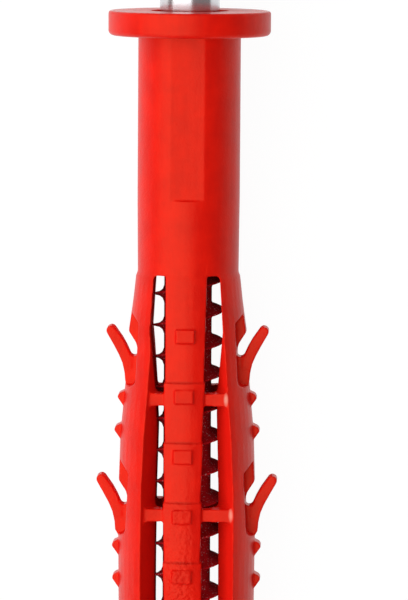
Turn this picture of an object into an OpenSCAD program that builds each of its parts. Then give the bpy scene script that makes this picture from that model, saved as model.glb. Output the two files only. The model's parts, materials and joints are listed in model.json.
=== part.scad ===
// Nylon frame plug with its hexagon head screw, lying on its collar and its back rib.
// Each piece is drawn upright first: the collar's underside is z = 0, the head is up and the tip is down.
// "Depth" below is the distance down from the collar's underside.

/* [Sleeve and collar] */
// Outer diameter of the plain sleeve, which is the size of the drilled hole
sleeve_d = 12; // [11.8:0.1:12.6]
// Length of the plug below its collar
plug_len = 90; // [88:1:96]
// Diameter of the collar
collar_d = 19; // [17:0.5:22]
// Thickness of the collar
collar_h = 2.9; // [2.2:0.1:3.6]
// Rounding of the collar's upper edge
collar_round = 0.3; // [0.2:0.05:0.5]
// Rounding of the collar's lower edge
collar_under = 0.6; // [0.2:0.05:0.8]
// Width of the flat panel on the front of the sleeve
panel_w = 4; // [3:0.1:5]
// Length of the flat panel, from the collar down
panel_len = 19; // [15:0.5:22]

/* [Expansion zone] */
// Depth at which the slotted zone starts
zone_top = 27.9; // [26.5:0.1:28.5]
// How far the arms swell out beyond the sleeve
swell = 2.07; // [1.5:0.05:2.2]
// Width of the front and back ribs between the slots
rib_w = 4.66; // [4:0.05:4.8]
// How far the screw's pull has drawn the ribs to one side
rib_drift = 0.35; // [0:0.05:0.4]
// How much each rib section stands out over the end of the one above it
rib_step = 0.2; // [0.1:0.02:0.26]
// Thickness of the webs that tie the arms to the ribs
web_t = 1.4; // [1.2:0.1:2]
// Rounding of the window corners
window_round = 0.5; // [0.3:0.05:0.55]
// Length of the closed nose
nose_len = 8; // [7:0.5:9]

/* [Wings and barbs] */
// Width of the wings and barbs
wing_w = 2.4; // [2:0.1:4]
// Distance from one wing to the next
wing_pitch = 17.63; // [17:0.1:18]
// Radius of the wing's rounded tip
wing_tip_r = 0.57; // [0.5:0.01:0.6]
// Height of the barbs between the wings
barb_h = 0.72; // [0.4:0.05:0.9]
// Height of the small pads on the ribs
pad_h = 0.28; // [0.26:0.02:0.5]

/* [Screw] */
// Diameter of the plain shank
shank_d = 7; // [6.4:0.1:7.4]
// Diameter of the thread at its root
core_d = 5.6; // [5:0.1:5.9]
// Diameter over the thread's crest
thread_d = 8.4; // [7.8:0.1:8.5]
// Rise of the thread in one turn
thread_pitch = 3.71; // [3.2:0.01:4]
// Length of the screw below its head
screw_len = 98; // [96:0.5:99]
// Gap that is left between the collar and the head
head_gap = 8; // [7:0.5:9]
// Width of the hexagon across its flats
hex_af = 13; // [12:0.5:14]
// Height of the hexagon above its flange
hex_h = 5.6; // [4:0.2:7]
// Diameter of the flange under the hexagon
flange_d = 17.6; // [16:0.2:18.4]
// Thickness of the flange
flange_h = 1.7; // [1.2:0.1:2.4]

/* [Hidden] */
$fn = 72;

// Radii of the plug
sleeve_r = sleeve_d / 2;
collar_r = collar_d / 2;
bore_clear = 0.15;
bore_r = thread_d / 2 + bore_clear;
grip_clear = 0.05;
grip_r = thread_d / 2 + grip_clear;
web_front = sleeve_r - 0.5;
sleeve_end_r = sleeve_r - 0.08;
ring_r = sleeve_r + 0.13;
rib_r = sleeve_r + 0.23;
pad_r = sleeve_r + 0.13 + pad_h;

// Depths along the plug
taper_top = zone_top - 9.2;
slot_top = zone_top - 0.1;
splay_top = slot_top + 0.06;
nose_top = plug_len - nose_len;
slot_end = nose_top - 0.4;
splay_end = slot_end - 0.06;
shoulder = nose_top - 6;
nose_end_r = sleeve_r - 1.1;
nose_round = 0.8;

// Outline of the arms: depth against radius
arm_curve = [
  [zone_top + 0.3, ring_r],
  [zone_top + 3.2, sleeve_r + 0.215 * swell],
  [zone_top + 6.5, sleeve_r + 0.44 * swell],
  [zone_top + 12.9, sleeve_r + 0.631 * swell],
  [zone_top + 18.9, sleeve_r + 0.904 * swell],
  [zone_top + 22.6, sleeve_r + 0.955 * swell],
  [zone_top + 25.6, sleeve_r + swell],
  [zone_top + 32, sleeve_r + swell],
  [zone_top + 38.3, sleeve_r + 0.972 * swell],
  [shoulder, sleeve_r + 0.93 * swell],
  [nose_top, sleeve_r]
];

// Side faces of the arms: they splay by this angle, are turned round the axis a little as the screw has pushed
// them, and move away from the ribs with depth
splay = 25;
arm_turn = 2;
splay_near = 1.2;
splay_far = 2.42;
splay_curve = [
  [zone_top - 1, splay_near],
  [zone_top + 6.3, splay_near + 0.24],
  [zone_top + 13.3, 1.81],
  [zone_top + 18.6, 2.06],
  [zone_top + 25, 2.32],
  [zone_top + 34, splay_far],
  [plug_len, splay_far]
];

// Inner edge of the slots: depth against distance from the middle
slot_x = 3.4;
slot_curve = [
  [zone_top - 1, slot_x + 0.42],
  [zone_top + 3.2, slot_x + 0.65],
  [zone_top + 6.4, slot_x + 0.85],
  [zone_top + 13.3, slot_x + 0.28],
  [zone_top + 18, slot_x],
  [plug_len, slot_x]
];
face_gap = 0.04;

// Webs across the slots and the windows between them
web_first = zone_top + 14.36;
web_pitch = 13.64;
web_count = floor((slot_end - web_first - 5) / web_pitch) + 1;

// Ribs: their sections, their pads and their way sideways, as depth against distance
step_first = zone_top + 12.4;
step_pitch = 7.07;
step_count = floor((slot_end - step_first - 1) / step_pitch) + 1;
rib_flare = 0.08;
rib_narrow = 0.14;
rib_curve = [
  [zone_top - 2, 0],
  [zone_top + 2.6, -0.1 * rib_drift],
  [zone_top + 15.1, -0.6 * rib_drift],
  [zone_top + 24, -rib_drift],
  [zone_top + 36, -rib_drift],
  [zone_top + 46, 0]
];
pad_w = 2.2;
pad_len = 1.55;
pad_first = zone_top + 6.87;
pad_count = floor((slot_end - pad_first - 3) / step_pitch) + 1;

// Wings, their pockets and the barbs
wing_first = zone_top + 6.75;
wing_reach = 2.05;
wing_count = floor((nose_top - 8 - wing_first) / wing_pitch) + 1;
rail_w = wing_w - 0.1;
wing_step = 4.4;
wing_heel = [-1.47, wing_step];
barb_offsets = [7.87, 11.75];
pocket_w = 12;

// Screw
head_z = collar_h + head_gap;
tip_z = head_z - screw_len;
point_len = 8.5;
tip_share = 0.07;
thread_top = -zone_top + 9.8;
shank_cone = 1;
turn_steps = 28;
turns = floor((thread_top - tip_z - 0.4) / thread_pitch);
thread_steps = turns * turn_steps;
crest_at_right = -(zone_top + 0.58);
thread_lift = crest_at_right - tip_z - thread_pitch / 2;
thread_phase = thread_lift - floor(thread_lift / thread_pitch) * thread_pitch;
shank_end = tip_z + thread_phase + (turns - 2) * thread_pitch + 0.8;
hex_corner_r = hex_af / 2 / cos(30);
hex_chamfer = 0.9;
flange_round = 0.3;

// Resting pose: the collar's lower rim and the far edge of the last back pad both touch z = 0
last_pad = pad_first + (pad_count - 1) * step_pitch + pad_len / 2;
tilt = atan((collar_r - pad_r) / (last_pad + collar_under));
rest_h = (collar_r - collar_under) * cos(tilt) - collar_under * sin(tilt) + collar_under;

// Middle of the length as it lies, from the nose's lowest end to the top of the head
head_top = head_z + flange_h + hex_h;
head_flat_r = min(hex_af / 2, hex_corner_r - hex_chamfer);
nose_reach = (nose_end_r - nose_round) * sin(tilt) + (plug_len - nose_round) * cos(tilt) + nose_round;
head_reach = head_flat_r * sin(tilt) + head_top * cos(tilt);
mid_y = (head_reach - nose_reach) / 2;

function arm_r(depth) = lookup(depth, arm_curve);
function splay_at(depth) = lookup(depth, splay_curve);
function slot_at(depth) = lookup(depth, slot_curve);
function rib_at(depth) = lookup(depth, rib_curve);
function rib_half(depth) = rib_w / 2 - lookup(depth, [[zone_top + 12, 0], [zone_top + 22, rib_narrow]]);
function arc(c, r, a0, a1, n = 4) =
  [for (i = [0:n]) c + r * [cos(a0 + (a1 - a0) * i / n), sin(a0 + (a1 - a0) * i / n)]];
function web_at(i) = web_first + i * web_pitch;
function window_start(i) = i == 0 ? slot_top : web_at(i - 1) + web_t / 2;
function window_stop(i) = i == web_count ? slot_end : web_at(i) - web_t / 2;

// Turns an upright piece over onto its back and lowers it onto the floor
module lay() {
  translate([0, -mid_y, rest_h])
    rotate([tilt - 90, 0, 0])
      children();
}

// Extrudes an outline drawn in x and depth towards the front
module frontwards(reach) {
  rotate([90, 0, 0])
    linear_extrude(reach)
      mirror([0, 1])
        children();
}

// Extrudes an outline drawn in x and depth over a width centred on the axis
module across(width) {
  translate([0, width / 2, 0])
    frontwards(width)
      children();
}

module both_sides() {
  children();
  mirror([1, 0, 0])
    children();
}

module front_and_back() {
  children();
  mirror([0, 1, 0])
    children();
}

// Collar, sleeve, swollen arms and nose as one turned outline
module turned_body() {
  e = collar_round;
  u = collar_under;
  rotate_extrude()
    polygon(concat(
      [[0, collar_h]],
      arc([collar_r - e, collar_h - e], e, 90, 0),
      arc([collar_r - u, u], u, 0, -90, 6),
      [[sleeve_r, 0], [sleeve_r, -taper_top], [sleeve_end_r, -zone_top + 0.3]],
      [for (p = arm_curve) [p[1], -p[0]]],
      arc([nose_end_r - nose_round, -plug_len + nose_round], nose_round, 8, -90),
      [[0, -plug_len]]
    ));
}

// Hole for the screw, with a cone round its point
module bore() {
  cone_top = -tip_z - point_len;
  translate([0, 0, -cone_top])
    cylinder(r = bore_r, h = cone_top + collar_h + 1);
  translate([0, 0, tip_z - 0.4])
    cylinder(r1 = 0.9, r2 = grip_r, h = point_len + 0.4);
  translate([0, 0, -plug_len - 1])
    cylinder(r = 0.9, h = plug_len + tip_z + 1.6);
}

// Flat panel on the front of the sleeve
module panel_cut() {
  flat_y = sqrt(pow(sleeve_r, 2) - pow(panel_w / 2, 2));
  translate([-panel_w, -sleeve_r - 1, -panel_len])
    cube([2 * panel_w, sleeve_r + 1 - flat_y, panel_len]);
}

// One window seen from the front, from the middle to the inner edge of the slot
module straight_window(i) {
  r = window_round;
  top = window_start(i);
  end = window_stop(i);
  kinks = [for (p = slot_curve) if (p[0] > top + r && p[0] < end - r) [p[1], p[0]]];
  polygon(concat(
    [[0, top]],
    arc([slot_at(top) - r, top + r], r, 270, 360),
    kinks,
    arc([slot_at(end) - r, end - r], r, 0, 90),
    [[0, end]]
  ));
}

// The same window along the splayed face of the arm
module splayed_window(i) {
  r = window_round;
  top = window_start(i) + face_gap;
  end = window_stop(i) - face_gap;
  kinks = [for (p = splay_curve) if (p[0] > top + r && p[0] < end - r) [p[1], p[0]]];
  polygon(concat(
    [[-bore_r, top]],
    arc([splay_at(top) - r, top + r], r, 270, 360),
    kinks,
    arc([splay_at(end) - r, end - r], r, 0, 90),
    [[-bore_r, end]]
  ));
}

// Front view of a rib: every section is a little wider at its top than at its end
module rib_face() {
  for (i = [0:step_count]) {
    top = i == 0 ? slot_top - 1 : step_first + (i - 1) * step_pitch;
    end = i == step_count ? slot_end + 1 : step_first + i * step_pitch;
    polygon([
      [rib_at(top) - rib_half(top) - rib_flare, top],
      [rib_at(top) + rib_half(top) + rib_flare, top],
      [rib_at(end) + rib_half(end) - rib_flare, end],
      [rib_at(end) - rib_half(end) + rib_flare, end]
    ]);
  }
}

// Side outline of the ribs, turned: every section leans in and the next one steps out again
module rib_sections() {
  rotate_extrude()
    for (i = [0:step_count]) {
      top = i == 0 ? slot_top - 1 : step_first + (i - 1) * step_pitch;
      end = i == step_count ? slot_end + 1 : step_first + i * step_pitch;
      polygon([
        [0, -top],
        [i == 0 ? ring_r : rib_r, -top],
        [rib_r - rib_step, -end],
        [0, -end]
      ]);
    }
}

module rib_core() {
  intersection() {
    rib_sections();
    across(4 * sleeve_r)
      rib_face();
  }
}

// Space between the arm and the middle, along the arm's splayed face
module splay_space(side) {
  rotate([0, 0, splay + side * arm_turn])
    frontwards(2 * sleeve_r)
      polygon(concat(
        [[-2 * sleeve_r, splay_top]],
        [[splay_at(splay_top), splay_top]],
        [for (p = splay_curve) if (p[0] > splay_top && p[0] < splay_end) [p[1], p[0]]],
        [[splay_far, splay_end]],
        [[-2 * sleeve_r, splay_end]]
      ));
}

// Frees the front rib from the arms, down to the face of the webs
module rib_clearance() {
  difference() {
    intersection() {
      splay_space(1);
      mirror([1, 0, 0])
        splay_space(-1);
    }
    translate([-2 * sleeve_r, -web_front, -plug_len])
      cube([4 * sleeve_r, 2 * web_front, plug_len]);
    rib_core();
  }
}

// The windows of one side, cut along the arm's splayed face
module splayed_windows(side) {
  intersection() {
    rotate([0, 0, splay + side * arm_turn])
      frontwards(2 * sleeve_r)
        for (i = [0:web_count])
          splayed_window(i);
    translate([slot_x - window_round, -4 * sleeve_r, -plug_len])
      cube([3 * sleeve_r, 4 * sleeve_r, plug_len]);
  }
}

// All windows of both slots, straight through and along the splayed arm faces
module slot_windows() {
  across(4 * sleeve_r)
    difference() {
      both_sides()
        for (i = [0:web_count])
          straight_window(i);
      rib_face();
    }
  front_and_back() {
    splayed_windows(1);
    mirror([1, 0, 0])
      splayed_windows(-1);
  }
}

// Recess beside a wing, drawn from the wing tip's centre in x and depth
module pocket_outline() {
  polygon([
    [0, -4.98],
    [-3.35, -1.16],
    [-3.02, 5.6],
    [-2.85, 6.1],
    [-2.4, 6.35],
    [2, 6.35]
  ]);
}

// Notch behind a wing: a slanted cut, a straight wall and a round bottom
module notch_outline() {
  polygon(concat(
    [[0, -3.2]],
    [[-2.93, 1.42]],
    arc([-2.7, 2.52], 0.5, 195, 20, 6),
    [[-1.1, 0.8]]
  ));
}

// Tongue of a wing, curved outwards from its root to its round tip
module wing_outline() {
  polygon(concat(
    arc([0, 0], wing_tip_r, 30, -150, 8),
    [[-1.35, 0.93], [-1.88, 1.88], [-2.42, 3.1]],
    [[-2.46, wing_step], wing_heel],
    [[-1.33, 3.8], [-0.92, 2.84], [-0.2, 1.5]]
  ));
}

// Root of a wing, which is as narrow as the rail under it and runs out into the arm
module root_outline() {
  polygon([
    [-2.9, 3.6],
    [-1.9, 3.9],
    wing_heel,
    [-1.6, 5.05],
    [-1.68, 6],
    [-2.62, 7.6],
    [-2.9, 7.6]
  ]);
}

// A barb, drawn from its peak: steep towards the collar and sloped towards the tip
module barb_outline() {
  polygon([
    [-barb_h - 1.2, -0.9],
    [-barb_h, -0.7],
    [-0.2, -0.46],
    [-0.04, -0.2],
    [0, 0.06],
    [-barb_h, 1.08],
    [-barb_h - 1.2, 2]
  ]);
}

module at_wing(i) {
  depth = wing_first + i * wing_pitch;
  translate([arm_r(depth) + wing_reach, depth])
    children();
}

// Everything that is cut beside and behind the wings on one side
module wing_cuts() {
  front_and_back()
    translate([0, -rail_w / 2, 0])
      frontwards(pocket_w)
        for (i = [0:wing_count - 1])
          at_wing(i)
            pocket_outline();
  across(rail_w + 0.4)
    for (i = [0:wing_count - 1])
      at_wing(i)
        notch_outline();
}

// The wings and barbs of one side
module wing_row() {
  across(wing_w)
    for (i = [0:wing_count - 1])
      at_wing(i)
        wing_outline();
  across(rail_w)
    for (i = [0:wing_count - 1])
      at_wing(i)
        root_outline();
  across(wing_w)
    for (i = [0:wing_count - 1])
      for (step = barb_offsets) {
        depth = wing_first + i * wing_pitch + step;
        if (depth < nose_top - 3)
          translate([arm_r(depth) + barb_h, depth])
            barb_outline();
      }
}

// Small raised pads along a rib
module rib_pads() {
  for (i = [0:pad_count - 1]) {
    depth = pad_first + i * step_pitch;
    translate([rib_at(depth) - pad_w / 2, -pad_r, -depth - pad_len / 2])
      cube([pad_w, 1, pad_len]);
  }
}

module plug_upright() {
  difference() {
    turned_body();
    bore();
    panel_cut();
    front_and_back()
      rib_clearance();
    slot_windows();
    both_sides()
      wing_cuts();
  }
  both_sides()
    wing_row();
  front_and_back()
    rib_pads();
}

// Share of the full radius left at a height above the screw's tip
function point_share(z) = min(1, tip_share + (1 - tip_share) * (z - tip_z) / point_len);

// One turn of the thread's profile: height as a share of the pitch against radius
function thread_profile(grow) =
  let (core = core_d / 2, rise = grow * (thread_d - core_d) / 2)
  [
    [0.22, core],
    [0.36, core + 0.14 * rise],
    [0.44, core + 0.42 * rise],
    [0.48, core + rise],
    [0.52, core + rise],
    [0.56, core + 0.42 * rise],
    [0.64, core + 0.14 * rise],
    [0.78, core]
  ];

// Threaded part with its core and point: a profile carried round the helix and closed at both ends
module threaded_part() {
  n = turn_steps;
  k_end = thread_steps;
  j_end = len(thread_profile(1));
  function grow(k) = max(0, min(1, (k_end - n - k) / n));
  function height(k, share) = tip_z + thread_phase - thread_pitch + (k / n + share) * thread_pitch;
  function spot(k, j) =
    let (
      p = thread_profile(grow(k))[j],
      z = height(k, p[0]),
      r = p[1] * point_share(max(z, tip_z)),
      a = 360 * k / n
    )
    [r * cos(a), r * sin(a), max(z, tip_z)];
  function seam(k) = spot(k, 0) + [0, 0, thread_pitch];
  k0 = n;
  rows = [for (k = [k0:k_end]) for (j = [0:j_end - 1]) spot(k, j)];
  top_seam = [for (k = [k_end - n + 1:k_end]) seam(k)];
  low_mid = [0, 0, tip_z];
  high_mid = [0, 0, height(k_end, 0.5)];
  points = concat(rows, top_seam, [low_mid, high_mid]);
  row_count = k_end - k0;
  seam_base = len(rows);
  low = len(points) - 2;
  high = len(points) - 1;
  function at(k, j) = j < j_end ? k * j_end + j
    : k + n <= row_count ? (k + n) * j_end
    : seam_base + k + n - row_count - 1;
  sides = [for (k = [0:row_count - 1]) for (j = [0:j_end - 1]) each [
    [at(k, j), at(k + 1, j + 1), at(k + 1, j)],
    [at(k, j), at(k, j + 1), at(k + 1, j + 1)]
  ]];
  low_cap = concat(
    [for (k = [0:n - 1]) [low, at(k, 0), at(k + 1, 0)]],
    [for (j = [0:j_end - 1]) [low, at(0, j + 1), at(0, j)]]
  );
  high_cap = concat(
    [for (k = [row_count - n:row_count - 1]) [high, at(k + 1, j_end), at(k, j_end)]],
    [for (j = [0:j_end - 1]) [high, at(row_count, j), at(row_count, j + 1)]]
  );
  polyhedron(points, concat(sides, low_cap, high_cap));
}

module plain_shank() {
  translate([0, 0, shank_end + shank_cone])
    cylinder(r = shank_d / 2, h = head_z - shank_end - shank_cone + flange_h / 2);
  translate([0, 0, shank_end])
    cylinder(r1 = core_d / 2 + 0.1, r2 = shank_d / 2, h = shank_cone);
}

// Hexagon with a turned chamfer, on a flange with rounded rims
module head() {
  e = flange_round;
  top = flange_h + hex_h;
  flange_r = flange_d / 2;
  translate([0, 0, head_z]) {
    rotate_extrude()
      polygon(concat(
        [[0, 0]],
        arc([flange_r - e, e], e, -90, 0),
        arc([flange_r - e, flange_h - 0.5 - e], e, 0, 75),
        [[hex_corner_r - 0.4, flange_h], [0, flange_h]]
      ));
    intersection() {
      translate([0, 0, flange_h / 2])
        cylinder(r = hex_corner_r, h = top - flange_h / 2, $fn = 6);
      cylinder(r1 = hex_corner_r + top / tan(30) - hex_chamfer, r2 = hex_corner_r - hex_chamfer, h = top);
    }
  }
}

module screw_upright() {
  threaded_part();
  plain_shank();
  head();
}

module plug() {
  color("#d8221a")
    lay()
      plug_upright();
}

module screw() {
  color("#c9ccd0")
    lay()
      screw_upright();
}

plug();
screw();
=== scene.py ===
"""A nylon frame plug with its steel screw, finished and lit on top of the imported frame."""

import json
import math

import bmesh
import bpy
from bpy.props import FloatProperty, FloatVectorProperty, IntProperty, PointerProperty
from mathutils import Matrix, Vector


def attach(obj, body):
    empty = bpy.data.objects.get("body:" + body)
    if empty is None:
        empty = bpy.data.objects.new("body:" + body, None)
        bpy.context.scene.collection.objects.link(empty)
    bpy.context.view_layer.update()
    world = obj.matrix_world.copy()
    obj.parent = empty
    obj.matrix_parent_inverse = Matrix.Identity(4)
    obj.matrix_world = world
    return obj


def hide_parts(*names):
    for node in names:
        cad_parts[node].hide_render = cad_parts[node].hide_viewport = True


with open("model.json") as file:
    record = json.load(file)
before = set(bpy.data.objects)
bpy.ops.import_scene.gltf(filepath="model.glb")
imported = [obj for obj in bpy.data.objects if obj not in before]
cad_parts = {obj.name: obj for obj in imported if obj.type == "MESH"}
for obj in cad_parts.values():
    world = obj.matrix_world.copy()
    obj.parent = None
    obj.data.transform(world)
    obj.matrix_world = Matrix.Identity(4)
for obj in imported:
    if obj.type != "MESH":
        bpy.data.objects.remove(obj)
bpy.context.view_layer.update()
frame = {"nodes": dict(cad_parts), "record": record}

bl_info = {
    "name": "Frame plug studio",
    "version": (1, 0, 0),
    "blender": (4, 5, 0),
    "location": "View3D > Sidebar > Frame plug",
    "description": "Finishes a nylon frame plug and its screw and lights them",
    "category": "Object",
}

MM = 0.001

# Heights and places are in the plug's upright millimetres; a reach is along the row's X, Y and Z
# The turned stretches of the collar and the sleeve: top, end, radius at the top and radius at the end
TURNED = [(2.6, 0.5, 9.5, 9.5), (-0.3, -18.7, 6.0, 6.0), (-18.7, -27.6, 6.0, 5.92)]
# A point less than this far inside its circle is taken to be on a flat facet
FACET_DEPTH = 0.08
# The flat panel on the front and a little more: where it ends and half its width
PANEL_END = -19.3
PANEL_HALF = 2.15
COLLAR_TOP = 2.9

# Where the webs meet the right arm, and how far the painted highlight at each of them reaches
WEB_ENDS = [(4.7, -5.5, -42.2), (5.35, -5.5, -55.8), (5.35, -5.5, -69.5)]
WEB_HIGHLIGHT_REACH = (0.32, 0.88, 0.95)

# The corners under each section of the ribs, where shade is painted, and the part of the front rib that is
# scuffed
FIRST_CORNER = 40.45
SECTION_PITCH = 7.07
SECTIONS = 6
RIB_CORNER_SHADE_SPOTS = [(-0.3, 0, -FIRST_CORNER - SECTION_PITCH * section) for section in range(SECTIONS)]
CORNER_SHADE_REACH = (3.0, 0.26, 40)
SCUFFED = (-1.0, -6.5, -72)
SCUFF_REACH = (3.2, 23, 3)

# Full length in millimetres of two ramps: one up past the collar's top, one down the screw into its thread
TOP_RAMP = 3
THREAD_RAMP = 30
# Share of the zinc's colour that is left in its duller clouds
DULLED = (0.86, 0.87, 0.90)

# Triangles are joined within this distance in millimetres, and edges over this angle in degrees stay sharp
JOIN_WITHIN = 0.001
SHARP_ANGLE = 32
# Strength of each pass that rounds the moulded edges
SMOOTH_FACTOR = 0.5

# The floor: half its width and its depth under the part in metres, its glow and the glow's share where seen
FLOOR_REACH = 3
FLOOR_DROP = 0.01 * MM
FLOOR_GLOW = 1.03
GLOW_SHARE = 0.93
# In metres the softbox's sides and distance and the camera's near and far limit; in millimetres the sensor
SOFTBOX_SIDES = (1.9, 3.0)
SOFTBOX_DISTANCE = 1.2
CAMERA_CLIP = (0.05, 20)
SENSOR_WIDTH = 36


def mount(name):
    """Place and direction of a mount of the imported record."""
    found = next(m for m in frame["record"]["mounts"] if m["name"] == name)
    return Vector(found["pos_m"]), Vector(found["axis"])


def plug_frame():
    """Turns the plug's own upright millimetres into the row frame.

    Its origin is the middle of the collar's underside, +Z points to the screw's head and -Y to the front rib.
    """
    seat, into_hole = mount("sleeve_in_hole")
    z = -into_hole.normalized()
    x = Vector((1, 0, 0))
    y = z.cross(x)
    turn = Matrix((x, y, z)).transposed().to_4x4()
    return Matrix.Translation(seat) @ turn @ Matrix.Scale(MM, 4)


class PlugSettings(bpy.types.PropertyGroup):
    """Sizes and colours of the moulded plug."""

    grid: FloatProperty(
        name="Grid", description="Grid of the rounded skin", default=0.12, min=0.1, max=0.5
    )
    rounding: IntProperty(
        name="Rounding", description="Passes that round the moulded edges", default=2, min=0, max=12
    )
    triangles: IntProperty(
        name="Triangles", description="Most triangles in the skin", default=190000, min=20000, max=199000
    )
    color: FloatVectorProperty(
        name="Nylon", description="Colour of the nylon", subtype="COLOR", default=(0.84, 0.0045, 0.001)
    )
    shade: FloatVectorProperty(
        name="Nylon in its clouds",
        description="Colour of the slightly darker clouds in the nylon",
        subtype="COLOR",
        default=(0.74, 0.0025, 0.001),
    )
    # Painted glow: a slightly brighter, deeper red on the faces inside the slots, for light that comes
    # through the walls
    inside: FloatVectorProperty(
        name="Nylon inside",
        description="Colour of the faces inside the slots, which light also reaches through the walls",
        subtype="COLOR",
        default=(0.86, 0.003, 0.001),
    )
    # Painted shade: the darker red in the corners under the rib sections, where shade falls
    corner_shade: FloatVectorProperty(
        name="Nylon in the corners",
        description="Colour of the nylon in the corner under each section of the ribs",
        subtype="COLOR",
        default=(0.50, 0.001, 0.001),
    )
    # Painted highlight: the pale colour where each web meets the right arm, in place of a highlight on the
    # fillet there
    highlighted: FloatVectorProperty(
        name="Stretched nylon",
        description="Colour of the nylon where a web is stretched",
        subtype="COLOR",
        default=(0.98, 0.50, 0.38),
    )
    roughness: FloatProperty(
        name="Roughness", description="Roughness of the moulded skin", default=0.37, min=0, max=1
    )


class ScrewSettings(bpy.types.PropertyGroup):
    """Colours of the plated screw."""

    color: FloatVectorProperty(
        name="Zinc", description="Colour of the zinc plating", subtype="COLOR", default=(0.77, 0.78, 0.79)
    )
    # Painted shade and a painted reflection of the red nylon: the dull dark red given to the thread inside
    # the plug
    thread: FloatVectorProperty(
        name="Rubbed thread",
        description="Colour of the dulled thread",
        subtype="COLOR",
        default=(0.42, 0.006, 0.012),
    )
    roughness: FloatProperty(
        name="Roughness", description="Roughness of the plating", default=0.22, min=0, max=1
    )


class StudioSettings(bpy.types.PropertyGroup):
    """Camera, lamp and floor."""

    distance: FloatProperty(
        name="Distance", description="From the camera to the plug's axis", default=0.535, unit="LENGTH"
    )
    past_collar: FloatProperty(
        name="Past the collar",
        description="How far the camera stands beyond the collar's top, towards the head",
        default=0.0214,
        unit="LENGTH",
    )
    turned: FloatProperty(
        name="Turned", description="How far the camera stands round to the right", default=2.0
    )
    aim: FloatProperty(
        name="Aim", description="Depth on the plug that the camera looks at", default=0.03108, unit="LENGTH"
    )
    aside: FloatProperty(
        name="Aside", description="How far right of the axis the camera looks", default=0.00188, unit="LENGTH"
    )
    roll: FloatProperty(name="Roll", description="Turn of the picture, in degrees", default=0.38)
    lens: FloatProperty(name="Lens", description="Focal length in millimetres", default=274.5)
    softbox: FloatProperty(name="Softbox", description="Power of the softbox", default=28.5, unit="POWER")
    softbox_lean: FloatProperty(
        name="Softbox lean", description="How far left of straight up the softbox hangs", default=30.0
    )
    room: FloatProperty(name="Room", description="Brightness of the room", default=0.24)
    floor: FloatProperty(name="Floor", description="Grey of the floor", default=0.86)


class Socket:
    """A node's output that can be used in plain sums."""

    def __init__(self, finish, output):
        self.finish = finish
        self.output = output

    def maths(self, operation, first, second):
        return self.finish.add("ShaderNodeMath", {"operation": operation}, {0: first, 1: second})

    def __add__(self, other):
        return self.maths("ADD", self, other)

    def __sub__(self, other):
        return self.maths("SUBTRACT", self, other)

    def __rsub__(self, other):
        return self.maths("SUBTRACT", other, self)

    def __mul__(self, other):
        return self.maths("MULTIPLY", self, other)


class Finish:
    """A material under construction, with its main shader."""

    def __init__(self, name, shader="ShaderNodeBsdfPrincipled"):
        self.material = bpy.data.materials.new(name)
        self.material.use_nodes = True
        self.tree = self.material.node_tree
        self.tree.nodes.clear()
        output = self.tree.nodes.new("ShaderNodeOutputMaterial")
        self.shader = self.tree.nodes.new(shader)
        self.tree.links.new(self.shader.outputs[0], output.inputs["Surface"])

    def add(self, kind, settings=None, sockets=None, output=0):
        """Makes a node: its settings first, then the values and links of its sockets."""
        node = self.tree.nodes.new(kind)
        for key, value in (settings or {}).items():
            if key == "stops":
                self.set_stops(node.color_ramp, value)
            else:
                setattr(node, key, value)
        for key, value in (sockets or {}).items():
            self.plug(node.inputs[key], value)
        return Socket(self, node.outputs[output])

    def set_stops(self, ramp, stops):
        while len(ramp.elements) < len(stops):
            ramp.elements.new(0.5)
        for element, (place, grey) in zip(ramp.elements, stops):
            element.position = place
            element.color = (grey, grey, grey, 1)

    def plug(self, target, value):
        if isinstance(value, Socket):
            self.tree.links.new(value.output, target)
        elif hasattr(value, "__len__") and len(value) == 3 and target.type == "RGBA":
            target.default_value = (*value, 1)
        else:
            target.default_value = value

    def set(self, **sockets):
        """Sets or links sockets of the main shader; an underscore stands for a space."""
        for key, value in sockets.items():
            self.plug(self.shader.inputs[key.replace("_", " ")], value)

    def place(self, stretch=(1, 1, 1)):
        """Object coordinates, stretched along the axes."""
        coordinates = self.add("ShaderNodeTexCoord", output="Object")
        return self.add("ShaderNodeMapping", {}, {"Vector": coordinates, "Scale": stretch})

    def noise(self, size, detail=2.0, stretch=(1, 1, 1), roughness=0.5):
        """Noise from 0 to 1 whose clouds are about size metres wide."""
        sockets = {"Vector": self.place(stretch), "Scale": 1 / size, "Detail": detail, "Roughness": roughness}
        return self.add("ShaderNodeTexNoise", {}, sockets)

    def ramp(self, factor, stops):
        return self.add("ShaderNodeValToRGB", {"stops": stops}, {0: factor})

    def mix(self, factor, first, second):
        return self.add("ShaderNodeMix", {"data_type": "RGBA"}, {0: factor, 6: first, 7: second}, output=2)

    def bump(self, height, distance, strength=1.0):
        sockets = {"Height": height, "Distance": distance, "Strength": strength}
        return self.add("ShaderNodeBump", {}, sockets)


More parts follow.
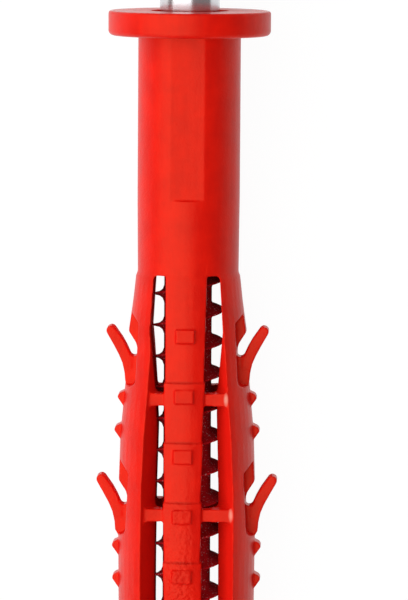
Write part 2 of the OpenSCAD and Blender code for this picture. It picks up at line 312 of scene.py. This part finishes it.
class PlugPlace:
    """Where a point of a finish is, in metres from the middle of the collar's underside."""

    def __init__(self, finish):
        place = plug_frame()
        self.finish = finish
        self.up = place.to_3x3().normalized().transposed()[2]
        point = finish.add("ShaderNodeTexCoord", output="Object")
        self.from_seat = self.vector("SUBTRACT", point, place.translation)

    def vector(self, operation, first, second, output=0):
        sockets = {0: first, 1: second}
        return self.finish.add("ShaderNodeVectorMath", {"operation": operation}, sockets, output)

    def height(self):
        """Height above the collar's underside, towards the head."""
        return self.vector("DOT_PRODUCT", self.from_seat, self.up, "Value")

    def turned_in(self):
        """1 on the faces that look at the plug's axis, 0 on those that look away from it."""
        along = self.vector("PROJECT", self.from_seat, self.up)
        outwards = self.vector("NORMALIZE", self.vector("SUBTRACT", self.from_seat, along), (0, 0, 0))
        normal = self.finish.add("ShaderNodeTexCoord", output="Normal")
        facing = self.vector("DOT_PRODUCT", normal, outwards, "Value")
        return self.finish.ramp(0.5 - facing, [(0.45, 0.0), (0.62, 1.0)])

    def near(self, spot, reach):
        """1 at a spot given in the plug's millimetres, fading out over its reach along each direction."""
        place = plug_frame()
        offset = self.vector("SUBTRACT", self.from_seat, place @ Vector(spot) - place.translation)
        scaled = self.vector("DIVIDE", offset, [r * MM for r in reach])
        distance = self.vector("LENGTH", scaled, (0, 0, 0), "Value")
        return self.finish.ramp(distance, [(0.3, 1.0), (1.0, 0.0)])

    def near_any(self, spots, reach):
        """The same for several spots, added up."""
        total = self.near(spots[0], reach)
        for spot in spots[1:]:
            total = total + self.near(spot, reach)
        return total


def nylon_finish(settings):
    """Satin red nylon: soft clouds, flow lines along the moulding and the fine skin of the mould.

    The faces inside the slots are rougher and carry a painted glow, a slightly brighter red for light
    that comes through the walls; the collar's top is glossier. Painted shade darkens the corners under the
    rib sections, a pale painted highlight lies where each web meets the right arm, and the front rib is
    scuffed low.
    """
    finish = Finish("red_nylon")
    place = PlugPlace(finish)
    clouds = finish.noise(2.6 * MM, detail=3)
    flow = finish.noise(0.9 * MM, detail=2, stretch=(1, 0.12, 1))
    skin = finish.noise(0.2 * MM, detail=2, roughness=0.6)
    dimples = finish.noise(0.8 * MM, detail=1)
    tone = finish.ramp(clouds * 0.7 + flow * 0.3, [(0.38, 0.0), (0.62, 1.0)])
    # The faces turned to the axis: rougher, and given half of the painted glow colour
    inside = place.turned_in()
    red = finish.mix(inside * 0.5, finish.mix(tone, settings.shade, settings.color), settings.inside)
    # Painted shade in the corners under the rib sections
    red = finish.mix(place.near_any(RIB_CORNER_SHADE_SPOTS, CORNER_SHADE_REACH) * 0.7, red, settings.corner_shade)
    # Painted highlight where each web meets the right arm, broken up by streaks
    pale = place.near_any(WEB_ENDS, WEB_HIGHLIGHT_REACH)
    scuffs = finish.noise(0.5 * MM, detail=3) * place.near(SCUFFED, SCUFF_REACH)
    top_face = finish.ramp(place.height() * (1 / (TOP_RAMP * MM)), [(0.94, 0.0), (0.96, 1.0)])
    streaks = finish.noise(0.3 * MM, detail=2, stretch=(1, 0.5, 1))
    finish.set(
        Base_Color=finish.mix(pale * (streaks * 0.5 + 0.3), red, settings.highlighted),
        Roughness=clouds * 0.10 + skin * 0.08 + (settings.roughness - 0.09) + inside * 0.45 - top_face * 0.2,
        Normal=finish.bump(skin * 0.8 + dimples * 0.4 + flow * 0.4 + scuffs * 9, 0.035 * MM),
        IOR=1.53,
        Specular_IOR_Level=0.25,
        Specular_Tint=(1.0, 0.84, 0.45, 1.0),
    )
    return finish.material


def zinc_finish(settings):
    """Satin zinc plating with drawn lines; the thread is a dull red of painted shade and painted reflection
    of the nylon, with small painted glints.
    """
    finish = Finish("zinc_steel")
    height = PlugPlace(finish).height()
    clouds = finish.noise(3.2 * MM, detail=3)
    lines = finish.noise(0.35 * MM, detail=2, stretch=(1, 0.06, 1))
    grain = finish.noise(0.12 * MM, detail=2)
    # Painted glints: small spots on the dull thread that take back the zinc's colour
    painted_glints = finish.ramp(finish.noise(0.22 * MM, detail=1), [(0.64, 0.0), (0.72, 1.0)])
    threaded = finish.ramp(height * (-1 / (THREAD_RAMP * MM)), [(0.3, 0.0), (0.5, 1.0)])
    tone = finish.ramp(clouds, [(0.3, 0.0), (0.7, 1.0)])
    dull = tuple(channel * share for channel, share in zip(settings.color, DULLED))
    # Painted shade and painted reflection of the nylon on the thread, with painted glints in the zinc's
    # colour
    thread_shade_and_glints = finish.mix(painted_glints * 0.5, settings.thread, settings.color)
    finish.set(
        Base_Color=finish.mix(threaded, finish.mix(tone, dull, settings.color), thread_shade_and_glints),
        Metallic=1 - threaded,
        Roughness=clouds * 0.03 + lines * 0.03 + (settings.roughness - 0.03) + threaded * 0.715,
        Normal=finish.bump(lines * 0.2 + threaded * grain * 1.4, 0.003 * MM, 0.6),
        Specular_IOR_Level=0.12,
    )
    return finish.material


def merged_copy(node, name):
    """A copy of a CAD node whose loose triangles are joined into one skin, without their old normals."""
    bm = bmesh.new()
    bm.from_mesh(frame["nodes"][node].data)
    bmesh.ops.remove_doubles(bm, verts=bm.verts, dist=JOIN_WITHIN * MM)
    mesh = bpy.data.meshes.new(name)
    bm.to_mesh(mesh)
    bm.free()
    stale = mesh.attributes.get("custom_normal")
    if stale:
        mesh.attributes.remove(stale)
    piece = bpy.data.objects.new(name, mesh)
    bpy.context.scene.collection.objects.link(piece)
    return piece


def on_circle(point):
    """The point of a flat facet of the collar or the sleeve, moved out to the true circle."""
    radius = math.hypot(point.x, point.y)
    for top, end, top_radius, end_radius in TURNED:
        true_radius = top_radius + (end_radius - top_radius) * (top - point.z) / (top - end)
        if end < point.z <= top and 0 < true_radius - radius < FACET_DEPTH:
            return Vector((point.x * true_radius / radius, point.y * true_radius / radius, point.z))
    return point


def round_turned(piece):
    """Makes the facets of the turned faces round again, all but the flat panel on the front."""
    place = plug_frame()
    upright = place.inverted()
    for vertex in piece.data.vertices:
        point = upright @ vertex.co
        on_panel = point.y < 0 and abs(point.x) < PANEL_HALF and PANEL_END < point.z < 0
        if point.z > TURNED[-1][1] and not on_panel:
            vertex.co = place @ on_circle(point)


def settle(piece):
    """Makes the piece's modifiers part of its mesh."""
    bpy.context.view_layer.update()
    shaped = bpy.data.meshes.new_from_object(piece.evaluated_get(bpy.context.evaluated_depsgraph_get()))
    piece.modifiers.clear()
    piece.data = shaped


def dress(piece, node, material):
    """Shows the piece in place of its CAD node, with its finish."""
    piece.data.materials.clear()
    piece.data.materials.append(material)
    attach(piece, "root")
    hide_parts(node)


class FRAMEPLUG_OT_moulding(bpy.types.Operator):
    """Round the edges of the moulded plug and give it its nylon"""

    bl_idname = "frameplug.moulding"
    bl_label = "Nylon plug"

    def execute(self, context):
        settings = context.scene.frameplug_plug
        piece = merged_copy("plug", "plug_moulding")
        skin = piece.modifiers.new("skin", "REMESH")
        skin.mode = "VOXEL"
        skin.voxel_size = settings.grid * MM
        settle(piece)
        round_turned(piece)
        rounding = piece.modifiers.new("rounding", "SMOOTH")
        rounding.factor = SMOOTH_FACTOR
        rounding.iterations = settings.rounding
        thin = piece.modifiers.new("thin", "DECIMATE")
        thin.ratio = min(1, settings.triangles / (2 * len(piece.data.polygons)))
        settle(piece)
        piece.data.shade_smooth()
        dress(piece, "plug", nylon_finish(settings))
        return {"FINISHED"}


class FRAMEPLUG_OT_screw(bpy.types.Operator):
    """Shade the screw smooth and give it its plating"""

    bl_idname = "frameplug.screw"
    bl_label = "Plated screw"

    def execute(self, context):
        settings = context.scene.frameplug_screw
        piece = merged_copy("screw", "steel_screw")
        piece.data.shade_smooth()
        piece.data.set_sharp_from_angle(angle=math.radians(SHARP_ANGLE))
        dress(piece, "screw", zinc_finish(settings))
        return {"FINISHED"}


class FRAMEPLUG_OT_studio(bpy.types.Operator):
    """Set the pale floor, the room, the softbox and the camera"""

    bl_idname = "frameplug.studio"
    bl_label = "Studio"

    def execute(self, context):
        settings = context.scene.frameplug_studio
        self.floor(settings)
        self.room(context.scene, settings)
        self.softbox(settings)
        self.camera(context.scene, settings)
        context.scene.view_settings.view_transform = "Standard"
        return {"FINISHED"}

    def floor(self, settings):
        """A pale matte floor that is nearly white where it is looked at or mirrored."""
        bm = bmesh.new()
        bmesh.ops.create_grid(bm, x_segments=1, y_segments=1, size=FLOOR_REACH)
        mesh = bpy.data.meshes.new("floor")
        bm.to_mesh(mesh)
        bm.free()
        floor = bpy.data.objects.new("floor", mesh)
        floor.location.z = -FLOOR_DROP
        bpy.context.scene.collection.objects.link(floor)
        finish = Finish("floor", "ShaderNodeMixShader")
        paths = finish.tree.nodes.new("ShaderNodeLightPath").outputs
        seen, mirrored, through = (
            Socket(finish, paths[name]) for name in ("Is Camera Ray", "Is Glossy Ray", "Is Transmission Ray")
        )
        looked_at = seen.maths("MAXIMUM", seen, mirrored.maths("MAXIMUM", mirrored, through))
        grey = (settings.floor,) * 3
        matte = finish.add("ShaderNodeBsdfDiffuse", {}, {"Color": grey})
        glow = finish.add("ShaderNodeEmission", {}, {"Color": (1, 1, 1), "Strength": FLOOR_GLOW})
        finish.plug(finish.shader.inputs[0], looked_at * GLOW_SHARE)
        finish.plug(finish.shader.inputs[1], matte)
        finish.plug(finish.shader.inputs[2], glow)
        mesh.materials.append(finish.material)

    def room(self, scene, settings):
        """An even white room all round."""
        world = bpy.data.worlds.new("room")
        world.use_nodes = True
        background = world.node_tree.nodes["Background"]
        background.inputs["Color"].default_value = (1, 1, 1, 1)
        background.inputs["Strength"].default_value = settings.room
        scene.world = world

    def softbox(self, settings):
        """A large softbox that leans to the left, from a little right of straight up to low on the left."""
        light = bpy.data.lights.new("softbox", "AREA")
        light.shape = "RECTANGLE"
        light.size, light.size_y = SOFTBOX_SIDES
        light.energy = settings.softbox
        lean = math.radians(settings.softbox_lean)
        lamp = bpy.data.objects.new("softbox", light)
        lamp.location = Vector((-math.sin(lean), 0, math.cos(lean))) * SOFTBOX_DISTANCE
        lamp.rotation_euler = (0, -lean, 0)
        bpy.context.scene.collection.objects.link(lamp)

    def camera(self, scene, settings):
        """A long lens above the front rib, a little beyond the collar and a little to the right."""
        place = plug_frame()
        around = math.radians(settings.turned)
        out = Vector((math.sin(around), -math.cos(around), 0))
        side = Vector((math.cos(around), math.sin(around), 0))
        height = COLLAR_TOP + settings.past_collar / MM
        eye = place @ (out * settings.distance / MM + Vector((0, 0, height)))
        target = place @ (side * settings.aside / MM - Vector((0, 0, settings.aim / MM)))
        forward = (target - eye).normalized()
        up = (place.to_3x3() @ Vector((0, 0, 1))).normalized()
        right = forward.cross(up).normalized()
        up = right.cross(forward)
        turn = Matrix((right, up, -forward)).transposed().to_4x4()
        data = bpy.data.cameras.new("camera")
        data.lens = settings.lens
        data.sensor_width = SENSOR_WIDTH
        data.clip_start, data.clip_end = CAMERA_CLIP
        camera = bpy.data.objects.new("camera", data)
        camera.matrix_world = (
            Matrix.Translation(eye) @ turn @ Matrix.Rotation(math.radians(settings.roll), 4, "Z")
        )
        scene.collection.objects.link(camera)
        scene.camera = camera


class FRAMEPLUG_PT_sidebar(bpy.types.Panel):
    """Settings and steps of the frame plug studio"""

    bl_label = "Frame plug"
    bl_idname = "FRAMEPLUG_PT_sidebar"
    bl_space_type = "VIEW_3D"
    bl_region_type = "UI"
    bl_category = "Frame plug"

    def draw(self, context):
        for title, (attribute, _, operator) in GROUPS.items():
            box = self.layout.box()
            box.label(text=title)
            settings = getattr(context.scene, attribute)
            for key in settings.__annotations__:
                box.prop(settings, key)
            box.operator(operator.bl_idname)


GROUPS = {
    "Plug": ("frameplug_plug", PlugSettings, FRAMEPLUG_OT_moulding),
    "Screw": ("frameplug_screw", ScrewSettings, FRAMEPLUG_OT_screw),
    "Studio": ("frameplug_studio", StudioSettings, FRAMEPLUG_OT_studio),
}


def register():
    for attribute, settings, operator in GROUPS.values():
        bpy.utils.register_class(settings)
        bpy.utils.register_class(operator)
        setattr(bpy.types.Scene, attribute, PointerProperty(type=settings))
    bpy.utils.register_class(FRAMEPLUG_PT_sidebar)


def unregister():
    bpy.utils.unregister_class(FRAMEPLUG_PT_sidebar)
    for attribute, settings, operator in reversed(GROUPS.values()):
        delattr(bpy.types.Scene, attribute)
        bpy.utils.unregister_class(operator)
        bpy.utils.unregister_class(settings)


def main():
    register()
    bpy.ops.frameplug.moulding()
    bpy.ops.frameplug.screw()
    bpy.ops.frameplug.studio()


if __name__ == "__main__":
    main()
